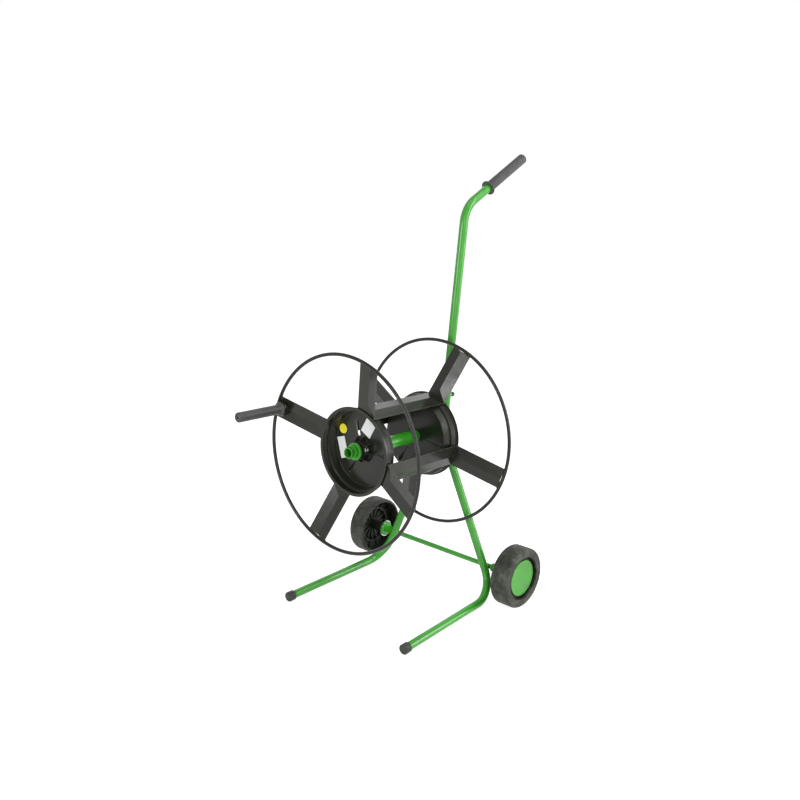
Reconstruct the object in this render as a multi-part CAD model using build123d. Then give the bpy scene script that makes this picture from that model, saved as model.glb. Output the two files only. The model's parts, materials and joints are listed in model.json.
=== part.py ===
from build123d import *

import os
from math import atan2, cos, hypot, radians, sin, sqrt, tan

# Garden hose reel cart: a bent tube frame on two wheels and two feet, a leaning mast with a
# grip, and an open wire hose reel that turns on a tube axle and is wound by a crank grip.
#
# Working axes: +X to the right wheel, +Y to the rear (the way the mast leans), +Z up. Sizes are
# worked out from the wheel axle, with y = 0 on it and z = 0 on the ground. The finished cart is
# then moved along Y, so that its origin is on the ground at the middle of its outline.

# ---------------------------------------------------------------- driving dimensions (mm)
# fits
WELD_GAP = 0.05             # between pieces that are welded, pressed or screwed together
RUN_CLEAR = 0.08            # radial clearance of a bore that turns on its shaft
END_PLAY = 0.4              # axial play beside a part that turns
SLIDE_CLEAR = 0.3           # around the mast in its socket
JOIN = 1.0                  # how far a rib runs into the wall that it is part of
CUT = 1.0                   # how far a cut runs past the face that it goes through

# side tubes: a leg along the ground, a bend, and a riser that leans in to the reel axle
TUBE_R = 9.4
TUBE_WALL = 1.5
LEG_BEND_X = 169.3          # leg centre line at the bend
LEG_SPLAY = 9.9             # leg centre line at the foot, outside the bend
LEG_BEND_RADIUS = 62.0
FOOT_Y = -344.0             # front face of the foot caps
RISER_TOP_X = 14.0
RISER_TOP_DOWN = 14.0       # below the mast's crossing with the reel's axis

# foot caps
FOOT_CAP_WALL = 2.15        # outside the side tube
FOOT_CAP_LENGTH = 17.0
FOOT_CAP_END = 3.0
FOOT_CAP_EDGE = 1.0
FOOT_SOLE_CUT = 0.6         # how much of the round cap its flat sole takes off

# wheel axle, a rod welded behind the side tubes
ROD_R = 6.0
COLLAR_WALL = 2.5
COLLAR_LENGTH = 24.0        # side tube to the inner face of the flange
COLLAR_FLANGE_R = 18.2
COLLAR_FLANGE_THICK = 3.6
COLLAR_EDGE = 1.2
WASHER_R = 20.2
WASHER_THICK = 1.6

# wheels; depths are measured outwards from the middle of the tyre
WHEEL_R = 70.8
WHEEL_OUT = 42.0            # collar's flange to the middle of the tyre
TYRE_WIDTH = 46.0
TYRE_SHOULDER = 6.5
TYRE_EDGE = 1.75
TREAD_THICK = 5.5
SIDEWALL_THICK = 7.0
SIDEWALL_HOLE_R = 50.5
BARREL_THICK = 2.2
BARREL_IN = 8.0             # barrel's inner edge, inside the tyre's
WEB_DEPTH = 9.0             # inner face of the web
WEB_THICK = 3.0
HUB_BOSS_WALL = 4.37        # round the bush
HUB_BOSS_OUT = 1.0          # boss past the web's inner face
HUB_RING_R = 44.5
HUB_RING_WALL = 2.6
HUB_RING_TALL = 10.0
HUB_RIBS = 14
HUB_RIB_THICK = 2.4
HUB_RIB_LOW = 4.0           # ribs between boss and ring
HUB_TOOTH = 7.0             # length of the tall end of a rib at the ring
HUB_TOOTH_TOP = 3.5         # length of its top
HUB_TOOTH_IN = 1.0          # its top, inside the ring's edge
BUSH_WALL = 2.0
HUB_CAP_GAP = 8.1           # round the hub cap, inside the sidewall
HUB_CAP_DEPTH = 18.4        # outer face of the hub cap at its edge
HUB_CAP_THICK = 2.0
HUB_CAP_BEVEL = 0.5
HUB_CAP_DISH = 0.8          # face inside the cap's raised edge
HUB_CAP_EDGE = 2.6
HUB_CAP_SKIRT_IN = 3.0
HUB_CAP_SKIRT_THICK = 2.0
PUSH_CAP_WALL = 2.95        # round the rod
PUSH_CAP_BEVEL = 0.6
PUSH_CAP_THICK = 1.2
PUSH_CAP_LENGTH = 4.8

# mast and its socket; places along the mast are measured from the reel's axis
APEX_Y = -1.6               # where the mast's centre line crosses the reel's axis
APEX_Z = 380.0
MAST_LEAN = 8.1             # degrees back from upright
MAST_R = 10.0
MAST_WALL = 1.5
MAST_BOTTOM = 55.0          # below the reel's axis
SOCKET_WALL = 1.5
SOCKET_DOWN = 58.0
SOCKET_UP = 94.0
MAST_BEND_UP = 515.3        # to the mast's bend corner
MAST_BEND_RADIUS = 60.0
MAST_GRIP_RISE = 24.0       # degrees of the grip above level
MAST_BEND_TO_GRIP = 89.0    # bend corner to the near end of the grip
MAST_GRIP_LENGTH = 149.0
MAST_GRIP_WALL = 1.65
MAST_GRIP_END = 5.0         # solid end of the grip
MAST_GRIP_ROUND = 4.0
MAST_GUARD_OUT = 5.6        # outside the grip
MAST_GUARD_THICK = 4.2
MAST_GUARD_FLARE = 3.0      # length of the swelling behind the guard

# clamp screw of the mast
CLAMP_UP = 81.2
CLAMP_BOSS_R = 5.4
CLAMP_BOSS_OUT = 5.0
CLAMP_SCREW_R = 2.9
CLAMP_KNOB_R = 5.8
CLAMP_KNOB_LENGTH = 7.0
CLAMP_KNOB_GAP = 2.4        # screw's boss to the knob
CLAMP_KNOB_BEVEL = 0.8
CLAMP_KNOB_FLUTES = 6
CLAMP_KNOB_FLUTE_R = 1.5
CLAMP_KNOB_HOLD = 4.5       # length of screw inside the knob

# reel axis, axle tube and hub tube
REEL_TILT = 4.344           # degrees, front end up
BACK_RIM_AHEAD = 30.8       # mast's centre line to the back rim, along the reel's axis
REEL_WIDTH = 306.0          # from rim to rim
AXLE_R = 12.0
AXLE_WALL = 2.0
AXLE_END_IN = 18.0          # open front end, behind the front rim
AXLE_PLUG = 6.0             # closed rear end, in front of the mast socket
HUB_TUBE_WALL = 1.2
HUB_TUBE_END_IN = 46.0      # ends of the hub tube, inside each rim
BUSH_LENGTH = 22.0
AXLE_BUSH_WALL = 1.67
BUSH_FLANGE_OUT = 1.5       # outside the hub tube
BUSH_FLANGE_THICK = 3.5
STOP_COLLAR_WALL = 7.1
STOP_COLLAR_BEVEL = 1.0
STOP_COLLAR_THICK = 6.1
STOP_COLLAR_NECK_WALL = 2.95
STOP_COLLAR_NECK = 7.0
STOP_SCREW_R = 2.2
STOP_SCREW_PROUD = 0.6

# rims and arms
RIM_R = 215.0
RIM_WIRE_R = 4.0
ARMS = {"crank_arm": 161.5, "top_arm": 71.5, "right_arm": -18.5, "bottom_arm": -108.5}
ARM_WIDTH = 50.0
ARM_SHEET = 2.0
ARM_RIDGE = 4.0             # height of the fold along the middle of the arm
ARM_R = 96.0                # reel axis to the edges of the bar
ARM_CORNER_IN = 37.5        # corner of bar and spoke, inside each rim
ARM_MITRE = 21.0            # length of the flat facet that ends the fold at a corner
ARM_BLOCK = 12.0            # depth of the block that the folded sheet is taken from

# hub discs
DISC_SHEET = 2.5
DISC_LIP_WIDE = 4.55        # lip outside the band
DISC_LIP_OUT = 3.6          # lip past the corners of the arms
DISC_BAND_END_IN = 51.5     # hose side of the step, inside the rim
DISC_STEP_WIDE = 4.45       # step inside the band
DISC_WALL_TAPER = 3.5
DISC_FLOOR_IN = 67.0        # outer face of the floor, inside the rim
DISC_ROUND = 1.0
DISC_BEADS = 3              # pressed tapered beads, standing out on the hose side
DISC_BEAD_ANGLE = 235.5     # of the first one
DISC_BEAD_START = 36.0      # from the reel's axis
DISC_BEAD_LENGTH = 38.0
DISC_BEAD_SMALL_R = 3.5
DISC_BEAD_LARGE_R = 7.0
DISC_BEAD_SINK = 2.0        # bead's own axis, inside the floor's hose side
DISC_BEAD_WALL = 1.9
SLOT_LENGTH = 37.0
SLOT_WIDTH = 7.5
SLOT_X = -19.8              # middle of the slot across the front disc
SLOT_UP = 44.9              # middle of the slot above the reel's axis
SLOT_LEAN = 15.4            # degrees
PEG_HOLE_R = 3.0
PEG_HOLE_X = 61.1
PEG_HOLE_UP = -1.1

# hub bosses
BOSS_WALL = 4.95
BOSS_END_IN = 46.6          # outer end, inside the rim
BOSS_FLANGE_OUT = 6.5       # outside the boss's wall
BOSS_FLANGE_THICK = 2.6
BOSS_RIBS = 8
BOSS_RIB_OUT = 10.0
BOSS_RIB_TOP_IN = 1.0       # upper end of a rib, inside the boss's end
BOSS_RIB_THICK = 2.4
BOSS_SCREW_R = 3.0
BOSS_SCREW_HEAD_R = 6.4
BOSS_SCREW_HEAD = 3.2
BOSS_SCREW_BEVEL = 0.6
BOSS_SCREW_SOCKET = 6.0     # across the flats
BOSS_SCREW_SOCKET_DEEP = 2.0
BOSS_SCREW_IN = 54.0        # inside the rim
BOSS_SCREW_ANGLE = 15.0
BOSS_RIVET_R = 1.6
BOSS_RIVET_OUT = 3.2        # outside the boss's wall
BOSS_RIVET_HEAD_R = 2.9
BOSS_RIVET_HEAD = 1.2

# crank
CRANK_IN = 17.2             # inside the middle of the rim
CRANK_SPACER_R = 10.0
CRANK_SPACER_TOP = 4.1      # outer spacer past the front rim
CRANK_SPACER_BOTTOM = 13.5  # inner spacer's end, behind the front rim
CRANK_BOLT_R = 4.0
CRANK_WASHER_R = 16.5
CRANK_WASHER_THICK = 1.5
CRANK_GRIP_R = 11.2
CRANK_GRIP_END = 130.0      # free end of the grip past the front rim
CRANK_GUARD_OUT = 4.6       # outside the grip
CRANK_GUARD_THICK = 5.0
CRANK_GUARD_FLARE = 4.0
CRANK_GRIP_ROUND = 3.0
CRANK_RECESS_CLEAR = 0.6    # round the bolt's head
CRANK_RECESS_DEEP = 5.5
CRANK_HEAD_R = 5.6
CRANK_HEAD = 4.5
CRANK_HEAD_BEVEL = 0.6
CRANK_SOCKET = 6.0          # across the flats
CRANK_SOCKET_DEEP = 3.0
CRANK_BOLT_PAST_NUT = 1.0
CRANK_NUT_ACROSS = 13.0
CRANK_NUT_THICK = 6.5

# blank stickers on the front disc: middle inside the edge of its floor, and angle round the axis
STICKER_THICK = 0.3
DOT_R = 11.0
DOT_IN = 14.67
DOT_ANGLE = 152.8
PANEL_WIDE = 23.0
PANEL_TALL = 48.0
PANEL_IN = 22.8
PANEL_ANGLE = 188.64
PANEL_TURN = 18.6           # degrees
DIAMOND_WIDE = 30.0
DIAMOND_TALL = 38.0
DIAMOND_OUT = 21.9          # its middle, outside the boss's ribs
DIAMOND_ANGLE = 77.0
DIAMOND_TURN = -28.0        # degrees

# ---------------------------------------------------------------- places worked out from them
HALF_WIDTH = TYRE_WIDTH / 2
LEG_FOOT_X = LEG_BEND_X + LEG_SPLAY
RISER_TOP_Z = APEX_Z - RISER_TOP_DOWN
FOOT_CAP_R = TUBE_R + WELD_GAP + FOOT_CAP_WALL
COLLAR_NECK_R = ROD_R + WELD_GAP + COLLAR_WALL
PUSH_CAP_R = ROD_R + WELD_GAP + PUSH_CAP_WALL
WHEEL_BUSH_R = ROD_R + RUN_CLEAR + BUSH_WALL
HUB_BOSS_R = WHEEL_BUSH_R + WELD_GAP + HUB_BOSS_WALL
HUB_CAP_R = SIDEWALL_HOLE_R - HUB_CAP_GAP
TUBE_Y = -(TUBE_R + ROD_R + WELD_GAP)           # side tubes stand in front of the rod
LEG_Z = FOOT_CAP_R - FOOT_SOLE_CUT
SOCKET_BORE_R = MAST_R + SLIDE_CLEAR
SOCKET_R = SOCKET_BORE_R + SOCKET_WALL
MAST_GRIP_R = MAST_R + WELD_GAP + MAST_GRIP_WALL
MAST_GUARD_R = MAST_GRIP_R + MAST_GUARD_OUT
CLAMP_KNOB_OUT = SOCKET_R + CLAMP_BOSS_OUT + CLAMP_KNOB_GAP
AXLE_BUSH_R = AXLE_R + RUN_CLEAR + AXLE_BUSH_WALL
HUB_TUBE_R = AXLE_BUSH_R + WELD_GAP + HUB_TUBE_WALL
BUSH_FLANGE_R = HUB_TUBE_R + BUSH_FLANGE_OUT
STOP_COLLAR_R = AXLE_R + WELD_GAP + STOP_COLLAR_WALL
STOP_COLLAR_NECK_R = AXLE_R + WELD_GAP + STOP_COLLAR_NECK_WALL
BOSS_R = HUB_TUBE_R + WELD_GAP + BOSS_WALL
BOSS_FLANGE_R = BOSS_R + BOSS_FLANGE_OUT
BOSS_RIB_R = BOSS_R + BOSS_RIB_OUT
REEL_MID = BACK_RIM_AHEAD + REEL_WIDTH / 2      # mast's centre line to the middle of the reel
RIM_S = REEL_WIDTH / 2                          # rim planes, from the middle of the reel
AXLE_END_S = RIM_S - AXLE_END_IN
AXLE_BORE_START_S = SOCKET_R + WELD_GAP + AXLE_PLUG - REEL_MID
HUB_TUBE_END_S = RIM_S - HUB_TUBE_END_IN
STOP_START_S = HUB_TUBE_END_S + WELD_GAP + BUSH_FLANGE_THICK + END_PLAY
CORNER_S = RIM_S - ARM_CORNER_IN
BAND_R = ARM_R - ARM_SHEET - WELD_GAP           # the corners of the arms lie on the band
RIM_IN_R = RIM_R - RIM_WIRE_R - WELD_GAP        # the spokes end on this circle
ARM_END_R = sqrt(RIM_IN_R ** 2 - (ARM_WIDTH / 2) ** 2)
SPOKE_RISE = RIM_S - ARM_SHEET / 2 - CORNER_S
SPOKE_FLARE = atan2(SPOKE_RISE, ARM_END_R - ARM_R)
SPOKE_LENGTH = hypot(SPOKE_RISE, ARM_END_R - ARM_R)
DISC_LIP_S = CORNER_S + DISC_LIP_OUT
DISC_LIP_R = BAND_R + DISC_LIP_WIDE
DISC_STEP_R = BAND_R - DISC_STEP_WIDE
BAND_END_S = RIM_S - DISC_BAND_END_IN
FLOOR_S = RIM_S - DISC_FLOOR_IN                 # outer face of the floor
FLOOR_R = DISC_STEP_R - DISC_WALL_TAPER
BOSS_SCREW_S = RIM_S - BOSS_SCREW_IN
BOSS_FIRST_RIB = BOSS_SCREW_ANGLE + 180 / BOSS_RIBS
CRANK_R = RIM_R - CRANK_IN
CRANK_GUARD_R = CRANK_GRIP_R + CRANK_GUARD_OUT
CRANK_RECESS_R = CRANK_HEAD_R + CRANK_RECESS_CLEAR
GRIP_START_S = RIM_S + CRANK_SPACER_TOP + WELD_GAP + CRANK_WASHER_THICK + END_PLAY
GRIP_END_S = RIM_S + CRANK_GRIP_END


def riser_line(z):
    """Half width of the frame at a height, along the risers' centre lines."""
    share = (z - LEG_Z) / (RISER_TOP_Z - LEG_Z)
    return LEG_BEND_X + (RISER_TOP_X - LEG_BEND_X) * share


# along the wheel axle, outwards from the middle of the cart
COLLAR_NECK_X = riser_line(WHEEL_R - COLLAR_NECK_R) + TUBE_R
COLLAR_FLANGE_X = COLLAR_NECK_X + COLLAR_LENGTH
WHEEL_X = COLLAR_FLANGE_X + WHEEL_OUT
WASHER_X = COLLAR_FLANGE_X + COLLAR_FLANGE_THICK + WELD_GAP
HUB_BOSS_START = WASHER_X + WASHER_THICK + END_PLAY - WHEEL_X
HUB_BOSS_END = WEB_DEPTH + HUB_BOSS_OUT
PUSH_CAP_START = HUB_BOSS_END + END_PLAY
ROD_END_X = WHEEL_X + PUSH_CAP_START + PUSH_CAP_LENGTH - PUSH_CAP_THICK - WELD_GAP

# the mast's line: local x forward across the lean, y to the right, z up along the mast
LEAN = radians(MAST_LEAN)
MAST_FRAME = Location(Plane(origin=(0, APEX_Y, APEX_Z), x_dir=(0, -cos(LEAN), sin(LEAN)),
                            z_dir=(0, sin(LEAN), cos(LEAN))))
# the clamp screw within it: local z out to the rear
CLAMP_FRAME = MAST_FRAME * Location(Plane(origin=(0, 0, CLAMP_UP), x_dir=(0, 1, 0),
                                          z_dir=(-1, 0, 0)))
# the reel's axis: local x to the right, y up, z forward, from the middle of the reel
TILT = radians(REEL_TILT)
REEL_DIR = Vector(0, -cos(TILT), sin(TILT))
REEL_FRAME = Location(Plane(origin=Vector(0, APEX_Y, APEX_Z) + REEL_DIR * REEL_MID,
                            x_dir=(1, 0, 0), z_dir=REEL_DIR))
# the right wheel: local z outwards
WHEEL_FRAME = Location(Plane(origin=(WHEEL_X, 0, WHEEL_R), x_dir=(0, 1, 0), z_dir=(1, 0, 0)))
AXLE_FRAME = Location(Plane(origin=(0, 0, WHEEL_R), x_dir=(0, 1, 0), z_dir=(1, 0, 0)))
CRANK_FRAME = Rot(0, 0, ARMS["crank_arm"]) * Pos(CRANK_R, 0, 0)


# ---------------------------------------------------------------- shared helpers
def rod(radius, start, end, bore=0.0):
    """A round bar, or a tube with a bore, along Z from start to end."""
    bar = Pos(0, 0, start) * extrude(Circle(radius), end - start)
    if bore:
        bar -= Pos(0, 0, start) * extrude(Circle(bore), end - start)
    return bar


def outline(points, rounding=0.0):
    """A flat face in the XZ plane; a point is (x, z) or (x, z, radius of its corner)."""
    corners = [Vector(point[0], 0, point[1]) for point in points]
    radii = [point[2] if len(point) > 2 else rounding for point in points]
    arcs = []
    ends = []
    for i, (corner, radius) in enumerate(zip(corners, radii)):
        back = (corners[i - 1] - corner).normalized()
        ahead = (corners[(i + 1) % len(corners)] - corner).normalized()
        half = radians(back.get_angle(ahead)) / 2
        ends.append((corner + back * (radius / tan(half)), corner + ahead * (radius / tan(half))))
        if radius:
            middle = corner + (back + ahead).normalized() * (radius / sin(half) - radius)
            arcs.append(ThreePointArc(ends[i][0], middle, ends[i][1]))
    lines = [Line(ends[i - 1][1], ends[i][0]) for i in range(len(ends))]
    return make_face(lines + arcs)


def turned(points, rounding=0.0):
    """Revolve an outline of (radius, height) points about Z."""
    return revolve(outline(points, rounding), Axis.Z)


def rounded_rod(radius, start, end, edge):
    """A round bar along Z with both outer edges chamfered."""
    return turned([(0, start), (radius - edge, start), (radius, start + edge),
                   (radius, end - edge), (radius - edge, end), (0, end)])


def spin(shape, count, first=0.0):
    """Copies of a shape round Z, evenly spaced from the first angle."""
    return [Rot(0, 0, first + 360 * i / count) * shape for i in range(count)]


def group(shapes):
    """Separate solids kept together in one node."""
    return Compound(children=[solid for shape in shapes for solid in shape.solids()])


def rear_copy(shape):
    """The same piece of the reel at its other end."""
    return mirror(shape, Plane.XY)


def left_copy(shape):
    """The same piece on the left side of the cart."""
    return mirror(shape, Plane.YZ)


# ---------------------------------------------------------------- frame
def right_side_tube():
    """Leg, bend and riser; the top is coped round the mast socket and the reel axle."""
    tip = Vector(LEG_FOOT_X, FOOT_Y, LEG_Z)
    corner = Vector(LEG_BEND_X, TUBE_Y, LEG_Z)
    foot = tip + (corner - tip).normalized() * (FOOT_CAP_END + WELD_GAP)
    top = Vector(RISER_TOP_X, TUBE_Y, RISER_TOP_Z)
    path = FilletPolyline(foot, corner, top, radius=LEG_BEND_RADIUS)
    section = (path ^ 0) * (Circle(TUBE_R) - Circle(TUBE_R - TUBE_WALL))
    tube = sweep(section, path)
    socket = MAST_FRAME * rod(SOCKET_R + WELD_GAP, -SOCKET_DOWN, SOCKET_UP)
    axle = REEL_FRAME * rod(AXLE_R + WELD_GAP, -REEL_MID, 0)
    return tube - socket - axle


def right_foot_cap():
    """Plastic cap over the end of a leg, with a flat sole."""
    corner = Vector(LEG_BEND_X, TUBE_Y, LEG_Z)
    tip = Vector(LEG_FOOT_X, FOOT_Y, LEG_Z)
    place = Location(Plane(origin=tip, x_dir=(0, 0, 1), z_dir=corner - tip))
    cap = rounded_rod(FOOT_CAP_R, 0, FOOT_CAP_LENGTH, FOOT_CAP_EDGE)
    cap -= rod(TUBE_R + WELD_GAP, FOOT_CAP_END, FOOT_CAP_LENGTH)
    return split(place * cap, Plane.XY, keep=Keep.TOP)


def mast_socket():
    """Tube that holds the mast, open at both ends, with the clamp screw's boss behind it."""
    socket = rod(SOCKET_R, -SOCKET_DOWN, SOCKET_UP)
    boss = rod(CLAMP_BOSS_R, SOCKET_BORE_R, SOCKET_R + CLAMP_BOSS_OUT)
    boss = MAST_FRAME.inverse() * CLAMP_FRAME * boss
    hole = rod(CLAMP_SCREW_R + RUN_CLEAR, 0, SOCKET_R + CLAMP_BOSS_OUT)
    hole = MAST_FRAME.inverse() * CLAMP_FRAME * hole
    return MAST_FRAME * (socket + boss - rod(SOCKET_BORE_R, -SOCKET_DOWN, SOCKET_UP) - hole)


def reel_axle_tube():
    """Fixed tube that the reel turns on; its closed rear end is coped round the socket."""
    tube = rod(AXLE_R, -REEL_MID, AXLE_END_S)
    tube = REEL_FRAME * (tube - rod(AXLE_R - AXLE_WALL, AXLE_BORE_START_S, AXLE_END_S))
    socket = MAST_FRAME * rod(SOCKET_R + WELD_GAP, -SOCKET_DOWN, SOCKET_UP)
    return (tube - socket).solids().sort_by(Axis.Y)[0]


def front_stop_collar():
    """Flanged ring that keeps the reel on the axle, with a neck for its set screw."""
    flange_end = STOP_START_S + STOP_COLLAR_THICK
    flange = rounded_rod(STOP_COLLAR_R, STOP_START_S, flange_end, STOP_COLLAR_BEVEL)
    neck = rod(STOP_COLLAR_NECK_R, STOP_START_S, flange_end + STOP_COLLAR_NECK)
    bore = rod(AXLE_R + WELD_GAP, STOP_START_S, AXLE_END_S)
    return flange + neck - bore - stop_screw_place() * rod(STOP_SCREW_R + WELD_GAP, 0, BOSS_R)


def stop_screw_place():
    """Where the stop collar's screw points out of the neck, on the right."""
    height = STOP_START_S + STOP_COLLAR_THICK + STOP_COLLAR_NECK / 2
    return Location(Plane(origin=(0, 0, height), x_dir=(0, 1, 0), z_dir=(1, 0, 0)))


def stop_collar_screw():
    length = STOP_COLLAR_NECK_R + STOP_SCREW_PROUD
    return stop_screw_place() * rod(STOP_SCREW_R, AXLE_R + WELD_GAP, length)


def rear_stop_ring():
    """Plain ring, welded to the axle behind the reel."""
    ring_end = STOP_START_S + STOP_COLLAR_THICK
    ring = rounded_rod(STOP_COLLAR_R, STOP_START_S, ring_end, STOP_COLLAR_BEVEL)
    return rear_copy(ring - rod(AXLE_R + WELD_GAP, STOP_START_S, AXLE_END_S))


# ---------------------------------------------------------------- wheel axle and wheels
def wheel_axle_rod():
    return AXLE_FRAME * rod(ROD_R, -ROD_END_X, ROD_END_X)


def right_wheel_collar():
    """Welded sleeve with a flange that keeps the wheel off the frame."""
    flange_end = COLLAR_FLANGE_X + COLLAR_FLANGE_THICK
    collar = rod(COLLAR_NECK_R, COLLAR_NECK_X, flange_end)
    collar += rounded_rod(COLLAR_FLANGE_R, COLLAR_FLANGE_X, flange_end, COLLAR_EDGE)
    return AXLE_FRAME * (collar - rod(ROD_R + WELD_GAP, COLLAR_NECK_X, flange_end))


def right_wheel_washer():
    return AXLE_FRAME * rod(WASHER_R, WASHER_X, WASHER_X + WASHER_THICK, ROD_R + WELD_GAP)


def right_push_cap():
    """Pressed cap on the end of the rod that keeps the wheel on."""
    end = PUSH_CAP_START + PUSH_CAP_LENGTH
    cap = rounded_rod(PUSH_CAP_R, PUSH_CAP_START, end, PUSH_CAP_BEVEL)
    return WHEEL_FRAME * (cap - rod(ROD_R + WELD_GAP, PUSH_CAP_START, end - PUSH_CAP_THICK))


def right_tyre():
    """Tread ring with a sidewall on the outside; the inner side is open."""
    inner = WHEEL_R - TREAD_THICK
    back = HALF_WIDTH - SIDEWALL_THICK
    return WHEEL_FRAME * turned([
        (inner, -HALF_WIDTH, TYRE_EDGE), (WHEEL_R, -HALF_WIDTH, TYRE_SHOULDER),
        (WHEEL_R, HALF_WIDTH, TYRE_SHOULDER), (SIDEWALL_HOLE_R, HALF_WIDTH, TYRE_EDGE),
        (SIDEWALL_HOLE_R, back), (inner, back)])


def right_wheel_hub():
    """Barrel inside the tread, web, long boss, and a ribbed ring on the inner side."""
    barrel_r = WHEEL_R - TREAD_THICK - WELD_GAP
    barrel_end = HALF_WIDTH - SIDEWALL_THICK - WELD_GAP
    web_end = WEB_DEPTH + WEB_THICK
    hub = rod(barrel_r, BARREL_IN - HALF_WIDTH, barrel_end, barrel_r - BARREL_THICK)
    hub += rod(barrel_r - JOIN, WEB_DEPTH, web_end)
    hub += rod(HUB_BOSS_R, HUB_BOSS_START, WEB_DEPTH)
    ring_start = WEB_DEPTH - HUB_RING_TALL
    ring_in = HUB_RING_R - HUB_RING_WALL
    hub += rod(HUB_RING_R, ring_start, WEB_DEPTH, ring_in)
    low = WEB_DEPTH - HUB_RIB_LOW
    tooth_end = ring_start + HUB_TOOTH_IN
    rib = outline([(HUB_BOSS_R - JOIN, WEB_DEPTH), (HUB_BOSS_R - JOIN, low),
                   (ring_in - HUB_TOOTH, low), (ring_in - HUB_TOOTH_TOP, tooth_end),
                   (ring_in + JOIN, tooth_end), (ring_in + JOIN, low),
                   (barrel_r - JOIN, low), (barrel_r - JOIN, WEB_DEPTH)])
    hub += spin(extrude(rib, HUB_RIB_THICK / 2, both=True), HUB_RIBS)
    hub -= rod(WHEEL_BUSH_R + WELD_GAP, HUB_BOSS_START, web_end)
    return WHEEL_FRAME * (hub - rod(PUSH_CAP_R + END_PLAY, HUB_BOSS_END, web_end))


def right_wheel_bush():
    return WHEEL_FRAME * rod(WHEEL_BUSH_R, HUB_BOSS_START, HUB_BOSS_END, ROD_R + RUN_CLEAR)


def right_hub_cap():
    """Dished round cap with a raised edge and a skirt that plugs into the hub."""
    back = HUB_CAP_DEPTH - HUB_CAP_THICK
    skirt_r = HUB_CAP_R - HUB_CAP_SKIRT_IN
    cap = rounded_rod(HUB_CAP_R, back, HUB_CAP_DEPTH, HUB_CAP_BEVEL)
    cap -= rod(HUB_CAP_R - HUB_CAP_EDGE, HUB_CAP_DEPTH - HUB_CAP_DISH, HUB_CAP_DEPTH)
    skirt = rod(skirt_r, WEB_DEPTH + WEB_THICK + WELD_GAP, back, skirt_r - HUB_CAP_SKIRT_THICK)
    return WHEEL_FRAME * (cap + skirt)


# ---------------------------------------------------------------- mast
def mast_line():
    """Corners of the mast's centre line: foot, bend, and the start and end of the grip."""
    turn = radians(MAST_GRIP_RISE) + LEAN
    bend = Vector(0, 0, MAST_BEND_UP)
    along = Vector(-cos(turn), 0, sin(turn))
    near = bend + along * MAST_BEND_TO_GRIP
    return Vector(0, 0, -MAST_BOTTOM), bend, near, near + along * MAST_GRIP_LENGTH


def mast_tube():
    foot, bend, near, far = mast_line()
    end = far - (far - near).normalized() * (MAST_GRIP_END + WELD_GAP)
    path = FilletPolyline(foot, bend, end, radius=MAST_BEND_RADIUS)
    section = (path ^ 0) * (Circle(MAST_R) - Circle(MAST_R - MAST_WALL))
    return MAST_FRAME * sweep(section, path)


def grip_profile(radius, guard_r, guard, flare, length, round_end):
    """Outline of a grip, guard first: a rounded guard that swells out of the grip."""
    bead = guard / 2 - WELD_GAP
    return turned([(0, 0), (guard_r, 0, bead), (guard_r, guard, bead), (radius, guard + flare),
                   (radius, length, round_end), (0, length)])


def mast_grip():
    """Closed plastic grip pushed over the end of the mast, with a hand guard."""
    foot, bend, near, far = mast_line()
    grip = grip_profile(MAST_GRIP_R, MAST_GUARD_R, MAST_GUARD_THICK, MAST_GUARD_FLARE,
                        MAST_GRIP_LENGTH, MAST_GRIP_ROUND)
    grip -= rod(MAST_R + WELD_GAP, 0, MAST_GRIP_LENGTH - MAST_GRIP_END)
    return MAST_FRAME * Location(Plane(origin=near, x_dir=(0, 1, 0), z_dir=far - near)) * grip


def clamp_screw():
    end = CLAMP_KNOB_OUT + CLAMP_KNOB_HOLD
    return CLAMP_FRAME * rod(CLAMP_SCREW_R, MAST_R + SLIDE_CLEAR, end)


def clamp_knob():
    """Fluted knob fixed on the clamp screw."""
    start = CLAMP_KNOB_OUT
    end = start + CLAMP_KNOB_LENGTH
    knob = rounded_rod(CLAMP_KNOB_R, start, end, CLAMP_KNOB_BEVEL)
    flute = Pos(CLAMP_KNOB_R, 0, 0) * rod(CLAMP_KNOB_FLUTE_R, start, end)
    knob -= spin(flute, CLAMP_KNOB_FLUTES)
    hole = rod(CLAMP_SCREW_R + WELD_GAP, start, start + CLAMP_KNOB_HOLD + WELD_GAP)
    return CLAMP_FRAME * (knob - hole)


# ---------------------------------------------------------------- reel: rims and arms
def front_rim():
    return Pos(0, 0, RIM_S) * Torus(RIM_R, RIM_WIRE_R)


def fold_block(length, far_mitre):
    """Block along X under a folded strip; the fold fades out at its mitred ends."""
    half = ARM_WIDTH / 2
    section = Plane.YZ * Polyline((-half, -ARM_BLOCK), (half, -ARM_BLOCK), (half, 0),
                                  (0, ARM_RIDGE), (-half, 0), close=True)
    far_end = [(length - far_mitre, ARM_RIDGE), (length, 0)] if far_mitre else [(length, ARM_RIDGE)]
    side = outline([(0, -ARM_BLOCK), (0, 0), (ARM_MITRE, ARM_RIDGE), *far_end,
                    (length, -ARM_BLOCK)])
    return extrude(make_face(section), length) & extrude(side, half, both=True)


def spoke_place():
    """From a strip's coordinates to the front spoke's: x out along it, z to the hose."""
    return Location(Plane(origin=(ARM_R, 0, CORNER_S),
                          x_dir=(cos(SPOKE_FLARE), 0, sin(SPOKE_FLARE)),
                          z_dir=(sin(SPOKE_FLARE), 0, -cos(SPOKE_FLARE))))


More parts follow.
